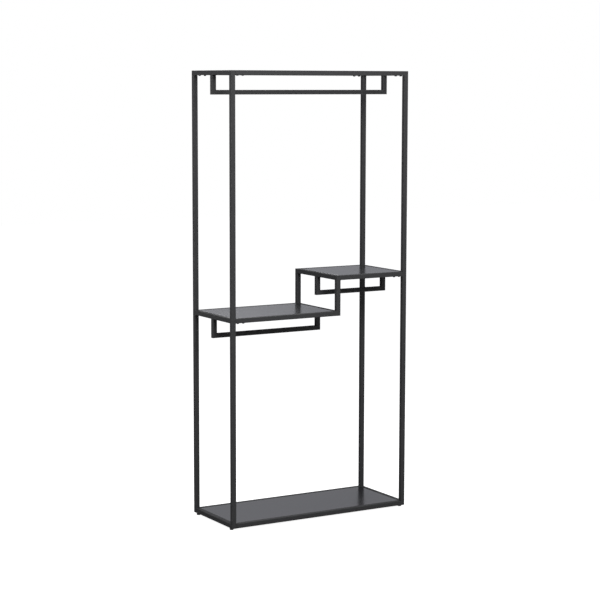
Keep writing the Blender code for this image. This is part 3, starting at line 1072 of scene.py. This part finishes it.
# ------------------------------------------------------------------ sub-assemblies
@dataclass(frozen=True)
class EndFrame:
    """Welded end frame: two uprights, three side rails and the tenons that hold the long rails."""

    end: End
    tenon_length: float = 0.052
    tenon_chamfer: float = 0.0008
    tenon_root: float = 0.0006
    stud_hole_radius: float = 0.0033
    stud_hole_flare: float = 0.0014
    stud_hole_lip: float = 0.0004
    stud_hole_depth: float = 0.003

    def upright(self, side: Side) -> None:
        """Makes one upright with its top plate and tenons.

        Args:
            side: Front or back.
        """
        node = f"upright_{side.value}_{self.end.value}"
        box = Extent.of(node)
        size, x, y = box.size.y, box.post_x(self.end), box.centre.y
        maker = MeshMaker()
        path = (Vector((x, y, box.low.z)), Vector((x, y, box.high.z)))
        Tube(node, path, X_AXIS, TubeProfile(size), TubeEnd.PLATE).add_to(maker)
        half = size / 2.0 - TUBE_WALL - FIT_GAP
        root = x - self.end.sign * (size / 2.0 - self.tenon_root)
        tip = x - self.end.sign * (size / 2.0 + self.tenon_length)
        for rail in ("base_rail", f"{self.end.value}_shelf_rail", "top_rail"):
            level = Extent.of(f"{rail}_{side.value}").centre.z
            maker.block(Vector((min(root, tip), y - half, level - half)),
                        Vector((max(root, tip), y + half, level + half)), self.tenon_chamfer)
        dress(maker.finish(f"coated_{node}", Coat.TUBE.material), (node,))

    def stud_holes(self) -> Piece:
        """Makes the cutter for the two stud holes in the base side rail.

        Returns:
            The cutter.
        """
        floor = Extent.of(f"base_side_rail_{self.end.value}").low.z
        feet = [Extent.of(f"levelling_foot_{side.value}_{self.end.value}").centre for side in Side]
        radius = self.stud_hole_radius
        profile = ((radius + self.stud_hole_flare, -CUT_ABOVE), (radius, self.stud_hole_lip),
                   (radius, self.stud_hole_depth))
        return round_holes([Vector((foot.x, foot.y, floor)) for foot in feet], profile)

    def build(self) -> None:
        """Makes the whole end frame."""
        for side in Side:
            self.upright(side)
        cross_rail(f"base_side_rail_{self.end.value}", self.stud_holes())
        cross_rail(f"shelf_end_rail_{self.end.value}")
        cross_rail(f"top_side_rail_{self.end.value}")


@dataclass(frozen=True)
class LongRail:
    """A pair of rails along X, front and back, which slide over the tenons of the end frames."""

    name: str
    level: Level
    bolted: tuple[End, ...] = (End.LEFT, End.RIGHT)
    bolt_hole_radius: float = 0.0033

    def reach(self, end: End) -> float:
        """How far the rail goes past its node: nothing where it is bolted, and into the weld elsewhere."""
        return 0.0 if end in self.bolted else WELD_DEPTH

    def holes(self, side: Side) -> Piece:
        """Makes the cutter for the bolt holes in the rail's lower wall.

        Args:
            side: Front or back.

        Returns:
            The cutter.
        """
        floor = Extent.of(f"{self.name}_{side.value}").low.z
        bolts = [Extent.of(f"bolt_{self.level.value}_{side.value}_{end.value}_{place}").centre
                 for end in self.bolted for place in BOLT_PLACES]
        plain = [(self.bolt_hole_radius, -CUT_ABOVE), (self.bolt_hole_radius, CUT_DEPTH)]
        profile = countersink(BASE_HEAD_RADIUS, False) if self.level is Level.BASE else plain
        return round_holes([Vector((bolt.x, bolt.y, floor)) for bolt in bolts], profile)

    def build(self) -> None:
        """Makes both rails."""
        for side in Side:
            node = f"{self.name}_{side.value}"
            tube = Tube.straight(node, X_AXIS, Y_AXIS, (self.reach(End.LEFT), self.reach(End.RIGHT)))
            dress(cut(tube.build(), self.holes(side)), (node,))


LONG_RAILS = (LongRail("top_rail", Level.TOP), LongRail("base_rail", Level.BASE),
              LongRail("left_shelf_rail", Level.SHELF, (End.LEFT,)),
              LongRail("right_shelf_rail", Level.SHELF, (End.RIGHT,)))


@dataclass(frozen=True)
class ShelfStep:
    """The step between the shelves: two risers and a rail at the foot and the head of them."""

    step_rails: tuple[str, ...] = ("left_shelf_step_rail", "right_shelf_step_rail")

    def build(self) -> None:
        """Makes the risers and step rails."""
        for side in Side:
            tube = Tube.straight(f"riser_{side.value}", Z_AXIS, X_AXIS, last_end=TubeEnd.PLATE)
            dress(tube.build(), (tube.node,))
        for node in self.step_rails:
            cross_rail(node)


@dataclass(frozen=True)
class HangingRails:
    """The three rails for hangers, each a rail with a leg at both ends."""

    nodes: tuple[str, ...] = ("hanging_rail_top", "hanging_rail_left", "hanging_rail_right")
    end_round: float = 0.0002
    mitre_round: float = 0.0005
    mitre_steps: int = 3
    least_angle: float = math.radians(60.0)
    top_margin: float = 0.002

    def build(self) -> None:
        """Makes the three rails."""
        for node in self.nodes:
            box = Extent.of(node)
            size = box.size.y
            half = size / 2.0
            left, right = box.low.x + half, box.high.x - half
            low, top = box.low.z + half, box.high.z + FIT_GAP
            path = tuple(Vector((x, 0.0, z)) for x, z in ((left, top), (left, low), (right, low), (right, top)))
            maker = MeshMaker()
            Tube(node, path, Y_AXIS, TubeProfile(size), end_round=self.end_round).add_to(maker)
            self.round_mitres(maker)
            dress(maker.finish(f"coated_{node}", Coat.HANGING.material), (node,))

    def round_mitres(self, maker: MeshMaker) -> None:
        """Takes the sharpness off the outer edges of the mitres, as grinding the weld does.

        Args:
            maker: The rail's mesh.
        """
        below_tops = max(vertex.co.z for vertex in maker.mesh.verts) - self.top_margin
        maker.mesh.normal_update()
        chosen = [edge for edge in maker.mesh.edges
                  if all(vertex.co.z < below_tops for vertex in edge.verts)
                  and len(edge.link_faces) == 2 and edge.calc_face_angle() > self.least_angle]
        bmesh.ops.bevel(maker.mesh, geom=chosen, offset=self.mitre_round, segments=self.mitre_steps,
                        profile=0.5, affect="EDGES", clamp_overlap=True)
        log.info("mitre edges rounded: %d", len(chosen))


@dataclass(frozen=True)
class Panel:
    """A sheet with four folded edges, set in a frame of tubes."""

    node: str
    sheet: float = 0.0015
    fold_radius: float = 0.0022
    # painted highlight: the fold's edge value lightens the folded edge, partly as rubbed coat and partly as a
    # painted highlight along the fold
    fold_wear_and_highlight: float = 0.7
    corner_radius: float = 0.0026
    least_radius: float = 0.0004
    edge_band: float = 0.0014
    lip_round: float = 0.0003
    arc_steps: int = 6

    def section(self, lip: float) -> Outline:
        """Section through the folded edge, from the top sheet round to its underside.

        Args:
            lip: Height of the folded edge.

        Returns:
            Inset, depth and edge value of each loop.
        """
        fold, inner, flat = self.fold_radius, self.fold_radius - self.sheet, self.fold_radius + self.edge_band
        angles = [QUARTER_TURN * step / self.arc_steps for step in range(self.arc_steps + 1)]
        return [(flat, 0.0, 0.0),
                *((fold * (1.0 - math.sin(angle)), fold * (1.0 - math.cos(angle)), self.fold_wear_and_highlight)
                  for angle in angles),
                (0.0, flat, 0.0), (0.0, lip - self.lip_round, 1.0), (self.lip_round, lip, 1.0),
                (self.sheet - self.lip_round, lip, 1.0), (self.sheet, lip - self.lip_round, 1.0),
                (self.sheet, flat, 0.0),
                *((fold - inner * math.sin(angle), fold - inner * math.cos(angle), 0.0)
                  for angle in reversed(angles)),
                (flat, self.sheet, 0.0)]

    def build(self) -> None:
        """Makes the panel."""
        box = Extent.of(self.node)
        maker, loops = MeshMaker(), []
        for inset, depth, edge in self.section(box.size.z):
            outline = rounded_outline(box.size.x / 2.0 - inset, box.size.y / 2.0 - inset,
                                      max(self.corner_radius - inset, self.least_radius), self.edge_band,
                                      self.arc_steps)
            loops.append([maker.vertex((x + box.centre.x, y + box.centre.y, box.high.z - depth), edge)
                          for x, y, _ in outline])
        maker.closed_skin(loops)
        dress(maker.finish(f"coated_{self.node}", Coat.PANEL.material), (self.node,))


@dataclass(frozen=True)
class Plugs:
    """Moulded inserts that close the open lower ends of the uprights and risers."""

    inset: float = 0.0004
    depth: float = 0.009
    edge_round: float = 0.0006
    dish: float = 0.0007
    clearance: float = 0.00008
    corner_radius: float = 0.001
    corner_steps: int = 4

    def add_to(self, maker: MeshMaker, x: float, box: Extent) -> None:
        """Adds one plug that faces down.

        Args:
            maker: The mesh to add to.
            x: X of the tube's axis.
            box: Extent of the tube.
        """
        profile = TubeProfile(box.size.y - 2.0 * (TUBE_WALL + self.clearance), self.corner_radius,
                              arc_steps=self.corner_steps)
        bend, inset = self.edge_round, self.inset
        rows = ((0.0, self.depth, 0.0), (0.0, inset + bend, 0.0), (bend * 0.3, inset + bend * 0.3, 1.0),
                (bend, inset, 1.0), (bend * 3.0, inset, 0.0), (bend * 4.0, inset + self.dish, 0.0))
        centre = Vector((x, box.centre.y, box.low.z))
        maker.closed_skin([[maker.vertex(centre + Vector((across, up, height)), edge)
                            for across, up, _ in profile.outline(inward)] for inward, height, edge in rows])

    def build(self) -> None:
        """Makes all the plugs as one piece."""
        maker = MeshMaker()
        for end in End:
            for side in Side:
                box = Extent.of(f"upright_{side.value}_{end.value}")
                self.add_to(maker, box.post_x(end), box)
        for side in Side:
            box = Extent.of(f"riser_{side.value}")
            self.add_to(maker, box.centre.x, box)
        dress(maker.finish("tube_plugs", Coat.PLUG.material))


@dataclass(frozen=True)
class Fasteners:
    """The bolts of the tenon joints and the screws of the hanging rails."""

    head_height: float = 0.0033
    screw_rails: tuple[str, ...] = ("top_side_rail_left", "top_side_rail_right", "shelf_end_rail_left",
                                    "left_shelf_step_rail", "right_shelf_step_rail", "shelf_end_rail_right")
    seed: int = 7

    def bolts(self, levels: Iterable[Level]) -> dict[str, Extent]:
        """Extents of the bolts at some levels, by node."""
        return {node: Extent.of(node) for node in (
            f"bolt_{level.value}_{side.value}_{end.value}_{place}" for level in levels for side in Side
            for end in End for place in BOLT_PLACES)}

    def build(self) -> None:
        """Makes bolts and screws, one mesh each."""
        tree = FastenerTree()
        bolts = self.bolts((Level.SHELF, Level.TOP))
        places = [Vector((box.centre.x, box.centre.y, box.low.z + self.head_height + FIT_GAP))
                  for box in bolts.values()]
        head_radius = next(iter(bolts.values())).size.x / 2.0
        self.place(tree, "rail_bolts", BUTTON_HEAD.build(False), head_radius, places, bolts)
        bolts = self.bolts((Level.BASE,))
        places = [Vector((box.centre.x, box.centre.y, box.low.z + SUNK_HEAD_DEPTH)) for box in bolts.values()]
        self.place(tree, "base_bolts", COUNTERSUNK_HEAD.build(False), BASE_HEAD_RADIUS, places, bolts)
        rails = [Extent.of(rail) for rail in self.screw_rails]
        places = [Vector((box.centre.x, 0.0, box.high.z - SUNK_HEAD_DEPTH)) for box in rails]
        self.place(tree, "hanging_rail_screws", COUNTERSUNK_HEAD.build(True), SCREW_HEAD_RADIUS, places, ())

    def place(self, tree: FastenerTree, name: str, pattern: Piece, radius: float,
              places: Sequence[Vector], nodes: Iterable[str]) -> None:
        """Puts copies of a fastener at places and dresses the result.

        Args:
            tree: The tree that makes the copies.
            name: Name of the piece.
            pattern: The fastener, which is then removed.
            radius: Radius of its head.
            places: Where its seat goes.
            nodes: Nodes that it stands for.
        """
        piece = tree.grow(name, places, {"Fastener": pattern, "Head Radius": radius, "Seed": self.seed,
                                         "Material": Coat.BOLT.material})
        bpy.data.objects.remove(pattern, do_unlink=True)
        dress(piece, nodes)


@dataclass(frozen=True)
class Welds:
    """Fillet welds in the corners of the frames, and tacks that hold the panels from below."""

    bead_radius: float = 0.0016
    ripple_pitch: float = 0.0010
    corner_offset: float = 0.0003
    fillet_margin: float = 0.0024
    tack_radius: float = 0.0012
    tack_length: float = 0.010
    tack_spacing: float = 0.105
    tack_lift: float = 0.0002
    unevenness: float = 0.09
    seed: int = 11

    def rail_ends(self) -> list[tuple[str, Vector, tuple[float, ...]]]:
        """Rails that are welded to a standing tube, the direction along them and their fillet sides.

        Returns:
            Node, direction out of the welded end, and 1 for a fillet above, -1 for one below.
        """
        fillets = {"base_side_rail": (1.0,), "shelf_end_rail": (1.0, -1.0), "top_side_rail": (-1.0,)}
        found = [(f"{name}_{end.value}", Y_AXIS * side.sign, sides)
                 for end in End for name, sides in fillets.items() for side in Side]
        for side in Side:
            found += [("left_shelf_step_rail", Y_AXIS * side.sign, (1.0,)),
                      ("right_shelf_step_rail", Y_AXIS * side.sign, (-1.0,)),
                      (f"left_shelf_rail_{side.value}", X_AXIS, (1.0,)),
                      (f"right_shelf_rail_{side.value}", -X_AXIS, (-1.0,))]
        return found

    def fillet_lines(self) -> list[Vector]:
        """Finds where the fillets run.

        Returns:
            Start and end of each, in turn.
        """
        points = []
        for node, out, fillets in self.rail_ends():
            box = Extent.of(node)
            across = Y_AXIS if out.y == 0.0 else X_AXIS
            half = box.size.z / 2.0
            reach = abs(box.size.dot(out)) / 2.0 + FIT_GAP
            for fillet in fillets:
                corner = box.centre + out * (reach - self.corner_offset)
                corner += Z_AXIS * fillet * (half + self.corner_offset)
                span = across * (half - self.fillet_margin)
                points += [corner - span, corner + span]
        return points

    def tack_lines(self) -> list[Vector]:
        """Finds where the tacks under the panels run.

        Returns:
            Start and end of each, in turn.
        """
        points = []
        for node in PANEL_NODES:
            box = Extent.of(node)
            for along, across in ((X_AXIS, Y_AXIS), (Y_AXIS, X_AXIS)):
                length, half_tack = box.size.dot(along), along * self.tack_length / 2.0
                count = max(2, round(length / self.tack_spacing))
                for sign in (-1.0, 1.0):
                    edge = box.centre + across * sign * (box.size.dot(across) / 2.0 + FIT_GAP / 2.0)
                    edge.z = box.low.z + self.tack_lift
                    for index in range(count):
                        middle = edge + along * length * ((index + 0.5) / count - 0.5)
                        points += [middle - half_tack, middle + half_tack]
        return points

    def build(self) -> None:
        """Makes the fillets and the tacks."""
        tree = BeadTree()
        for name, lines, radius in (("frame_welds", self.fillet_lines(), self.bead_radius),
                                    ("panel_tacks", self.tack_lines(), self.tack_radius)):
            piece = tree.grow(name, lines, {"Bead Radius": radius, "Ripple Pitch": self.ripple_pitch,
                                            "Unevenness": self.unevenness, "Seed": self.seed,
                                            "Material": Coat.TUBE.material})
            dress(piece)


@dataclass(frozen=True)
class LevellingFoot:
    """A fluted glide on a threaded stud, which screws down out of its nut."""

    side: Side
    end: End
    edge: float = 0.0010
    dish_depth: float = 0.0004
    dish_reach: tuple[float, float] = (0.55, 0.62)  # of the glide's radius
    # fourth column of each rim row: edge value, which lightens the rims partly as rubbed plastic and partly as
    # a painted highlight
    lower_rim: tuple[tuple[float, ...], ...] = ((1.0, 0.0, 0.0, 0.5), (0.3, 0.3, 0.0, 1.0),
                                                (0.0, 1.0, 0.2, 1.0), (0.0, 1.4, 1.0, 0.3))
    upper_rim: tuple[tuple[float, ...], ...] = ((0.0, -1.2, 1.0, 0.3), (0.0, -0.8, 0.2, 1.0),
                                                (0.3, -0.25, 0.0, 1.0), (0.9, 0.0, 0.0, 0.5))
    collar: float = 0.0012
    collar_sink: tuple[float, float] = (0.0002, 0.0003)
    flutes: int = 16
    flute_depth: float = 0.00045
    flute_sides: int = 96
    stud_radius: float = 0.00295
    thread_depth: float = 0.0005
    thread_pitch: float = 0.001
    thread_slope: float = 1.9
    thread_root: float = 0.45
    thread_sides: int = 24
    rows_in_pitch: int = 6
    stud_seat: float = 0.0006

    def glide(self, maker: MeshMaker, centre: Vector, radius: float, top: float) -> None:
        """Adds the glide, whose rims are given as inset and height in edges, fluting and edge value, which
        lightens edges as rubbed plastic and as a painted highlight.

        Args:
            maker: The mesh to add to.
            centre: Where the foot meets the floor.
            radius: Radius of the glide.
            top: Height of the glide.
        """
        rims = [(radius - self.edge * inset, start + self.edge * rise, fluting, wear_and_highlight_value)
                for start, rim in ((0.0, self.lower_rim), (top, self.upper_rim))
                for inset, rise, fluting, wear_and_highlight_value in rim]
        inward, sink = self.collar_sink
        rows = [(radius * self.dish_reach[0], self.dish_depth, 0.0, 0.0),
                (radius * self.dish_reach[1], 0.0, 0.0, 0.0), *rims,
                (self.stud_radius + self.collar, top, 0.0, 0.0),
                (self.stud_radius - inward, top - sink, 0.0, 0.0)]
        maker.closed_skin([maker.ring(
            centre, height, self.flute_sides,
            lambda turn, reach=reach, depth=fluting * self.flute_depth:
            reach - depth * (0.5 - 0.5 * math.cos(self.flutes * FULL_TURN * turn)), wear_and_highlight_value)
            for reach, height, fluting, wear_and_highlight_value in rows])

    def thread_radius(self, height: float, turn: float, fade: float) -> float:
        """Radius of the thread's helix.

        Args:
            height: Height above the floor.
            turn: Part of a turn round the stud.
            fade: How much of the ridge is left, which falls to 0 at the tip.

        Returns:
            The radius there.
        """
        phase = (height / self.thread_pitch - turn) % 1.0
        ridge = self.thread_slope * (1.0 - abs(2.0 * phase - 1.0)) - self.thread_root
        return self.stud_radius - self.thread_depth * (1.0 - min(1.0, max(0.0, ridge)) * fade)

    def stud(self, maker: MeshMaker, centre: Vector, start: float, tip: float) -> None:
        """Adds the threaded stud.

        Args:
            maker: The mesh to add to.
            centre: Where the foot meets the floor.
            start: Height of its lower end, inside the glide.
            tip: Height of its upper end.
        """
        rows = int((tip - start) / self.thread_pitch * self.rows_in_pitch)
        heights = [start + (tip - start) * row / rows for row in range(rows + 1)]
        maker.closed_skin([maker.ring(
            centre, height, self.thread_sides,
            lambda turn, height=height:
            self.thread_radius(height, turn, min(1.0, (tip - height) / self.thread_pitch)))
            for height in heights])

    def build(self) -> None:
        """Makes the foot and finishes its nut."""
        place = f"{self.side.value}_{self.end.value}"
        box = Extent.of(f"levelling_foot_{place}")
        centre = Vector((box.centre.x, box.centre.y, box.low.z))
        top = Extent.of(f"base_side_rail_{self.end.value}").low.z - box.low.z - FIT_GAP
        maker = MeshMaker()
        self.glide(maker, centre, box.size.x / 2.0, top)
        dress(maker.finish(f"glide_{place}", Coat.GLIDE.material),
              (f"levelling_foot_{place}",), f"foot_{place}")
        maker = MeshMaker()
        self.stud(maker, centre, top - self.stud_seat, box.size.z)
        dress(maker.finish(f"stud_{place}", Coat.NUT.material), (), f"foot_{place}")
        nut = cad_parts[f"foot_nut_{place}"]
        nut.data.materials.clear()
        nut.data.materials.append(Coat.NUT.material)


# ------------------------------------------------------------------ studio
@dataclass(frozen=True)
class SoftBox:
    """A soft rectangular light."""

    name: str
    place: tuple[float, float, float]
    aim: tuple[float, float, float]
    width: float
    height: float
    power: float

    def build(self) -> None:
        """Makes the light."""
        data = bpy.data.lights.new(self.name, "AREA")
        data.shape = "RECTANGLE"
        data.size, data.size_y = self.width, self.height
        data.energy = self.power
        lamp = place_object(self.name, data)
        lamp.location = self.place
        direction = Vector(self.aim) - Vector(self.place)
        lamp.rotation_euler = direction.to_track_quat("-Z", "Y").to_euler()
        lamp.visible_camera = False


@dataclass(frozen=True)
class Studio:
    """Camera, floor, surroundings and lights."""

    camera_place: tuple[float, float, float] = (-3.81879, -6.44189, 1.82844)
    camera_yaw: float = 0.53483
    camera_pitch: float = -0.12167
    camera_roll: float = 0.00189
    lens: float = 106.54
    sensor: float = 36.0
    clip: tuple[float, float] = (0.1, 100.0)
    floor_size: float = 30.0
    floor_colour: Colour = (0.40, 0.40, 0.40)
    floor_roughness: float = 0.9
    floor_specular: float = 0.1
    floor_glow: float = 0.92
    white: Colour = (1.0, 1.0, 1.0)
    sky_reach: tuple[float, float] = (-0.15, 0.75)
    sky_low: float = 0.14
    sky_high: float = 0.30
    glow: float = 0.285
    glow_reach: tuple[float, float] = (0.62, 0.94)
    glow_tint: Colour = (0.955, 0.965, 1.04)
    glow_way: tuple[float, float, float] = (0.50, 0.86, 0.10)
    lights: tuple[SoftBox, ...] = (
        SoftBox("key", (-0.60, -2.55, 2.75), (-0.2, 0.0, 1.6), 1.3, 1.3, 118.0),
        SoftBox("left_fill", (-1.2, 0.15, 1.45), (-0.42, 0.0, 1.3), 0.6, 2.0, 11.5),
        SoftBox("right_fill", (1.8, -3.0, 1.7), (0.1, 0.0, 1.0), 1.5, 2.0, 26.0),
        SoftBox("back_fill", (0.8, 2.6, 3.0), (0.1, 0.0, 1.1), 1.3, 1.6, 45.0),
    )

    def camera(self) -> None:
        """Makes the camera."""
        data = bpy.data.cameras.new("camera")
        data.sensor_width = self.sensor
        data.lens = self.lens
        data.clip_start, data.clip_end = self.clip
        yaw, pitch, roll = self.camera_yaw, self.camera_pitch, self.camera_roll
        forward = Vector((math.sin(yaw) * math.cos(pitch), math.cos(yaw) * math.cos(pitch), math.sin(pitch)))
        level = Vector((math.cos(yaw), -math.sin(yaw), 0.0))
        upright = level.cross(forward)
        right = level * math.cos(roll) + upright * math.sin(roll)
        up = upright * math.cos(roll) - level * math.sin(roll)
        turn = Matrix((right, up, -forward)).transposed()
        eye = place_object("camera", data)
        eye.matrix_world = Matrix.Translation(self.camera_place) @ turn.to_4x4()
        bpy.context.scene.camera = eye

    def floor(self) -> None:
        """Makes the pale floor."""
        material = bpy.data.materials.new("studio_floor")
        material.use_nodes = True
        graph = NodeGraph(material.node_tree)
        seen = graph.add("ShaderNodeLightPath").outputs["Is Camera Ray"]
        graph.feed(material.node_tree.nodes["Principled BSDF"],
                   {"Base Color": self.floor_colour, "Roughness": self.floor_roughness,
                    "Specular IOR Level": self.floor_specular, "Emission Color": self.white,
                    "Emission Strength": graph.math("MULTIPLY", seen, self.floor_glow)})
        half = self.floor_size / 2.0
        data = bpy.data.meshes.new("studio_floor")
        data.from_pydata([(-half, -half, 0.0), (half, -half, 0.0), (half, half, 0.0), (-half, half, 0.0)], [],
                         [(0, 1, 2, 3)])
        data.materials.append(material)
        place_object("studio_floor", data)

    def surroundings(self) -> None:
        """Makes the soft world: white where it is seen, quieter where it lights the rack."""
        world = bpy.data.worlds.new("studio")
        bpy.context.scene.world = world
        world.use_nodes = True
        graph = NodeGraph(world.node_tree)
        way = graph.add("ShaderNodeTexCoord").outputs["Generated"]
        parts = graph.add("ShaderNodeSeparateXYZ", (way,))
        sky = graph.ramp(parts.outputs["Z"], self.sky_reach, self.sky_low, self.sky_high)
        toward = graph.add("ShaderNodeVectorMath", (way, Vector(self.glow_way).normalized()),
                           operation="DOT_PRODUCT")
        lit = graph.ramp(toward.outputs["Value"], self.glow_reach, 0.0, self.glow)
        seen = graph.add("ShaderNodeLightPath").outputs["Is Camera Ray"]
        strength = graph.math("MAXIMUM", graph.math("ADD", sky, lit), seen)
        graph.feed(world.node_tree.nodes["Background"],
                   {"Color": graph.mix(seen, self.glow_tint, self.white), "Strength": strength})

    def build(self) -> None:
        """Makes everything that isn't part of the rack."""
        self.camera()
        self.floor()
        self.surroundings()
        for light in self.lights:
            light.build()
        bpy.context.scene.view_settings.view_transform = "Standard"


# ------------------------------------------------------------------ the whole rack
def corners(box: tuple[Vector, Vector]) -> list[list[float]]:
    """Lowest and highest corner as plain lists."""
    return [list(box[0]), list(box[1])]


def main() -> None:
    """Builds the finished rack round the frame."""
    logging.basicConfig(level=logging.INFO, format="%(name)s: %(message)s")
    Studio().build()
    pieces = (*(EndFrame(end) for end in End), *LONG_RAILS, ShelfStep(), HangingRails(),
              *(Panel(node) for node in PANEL_NODES), Plugs(), Fasteners(), Welds(),
              *(LevellingFoot(side, end) for side in Side for end in End))
    for piece in pieces:
        piece.build()


if __name__ == "__main__":
    main()
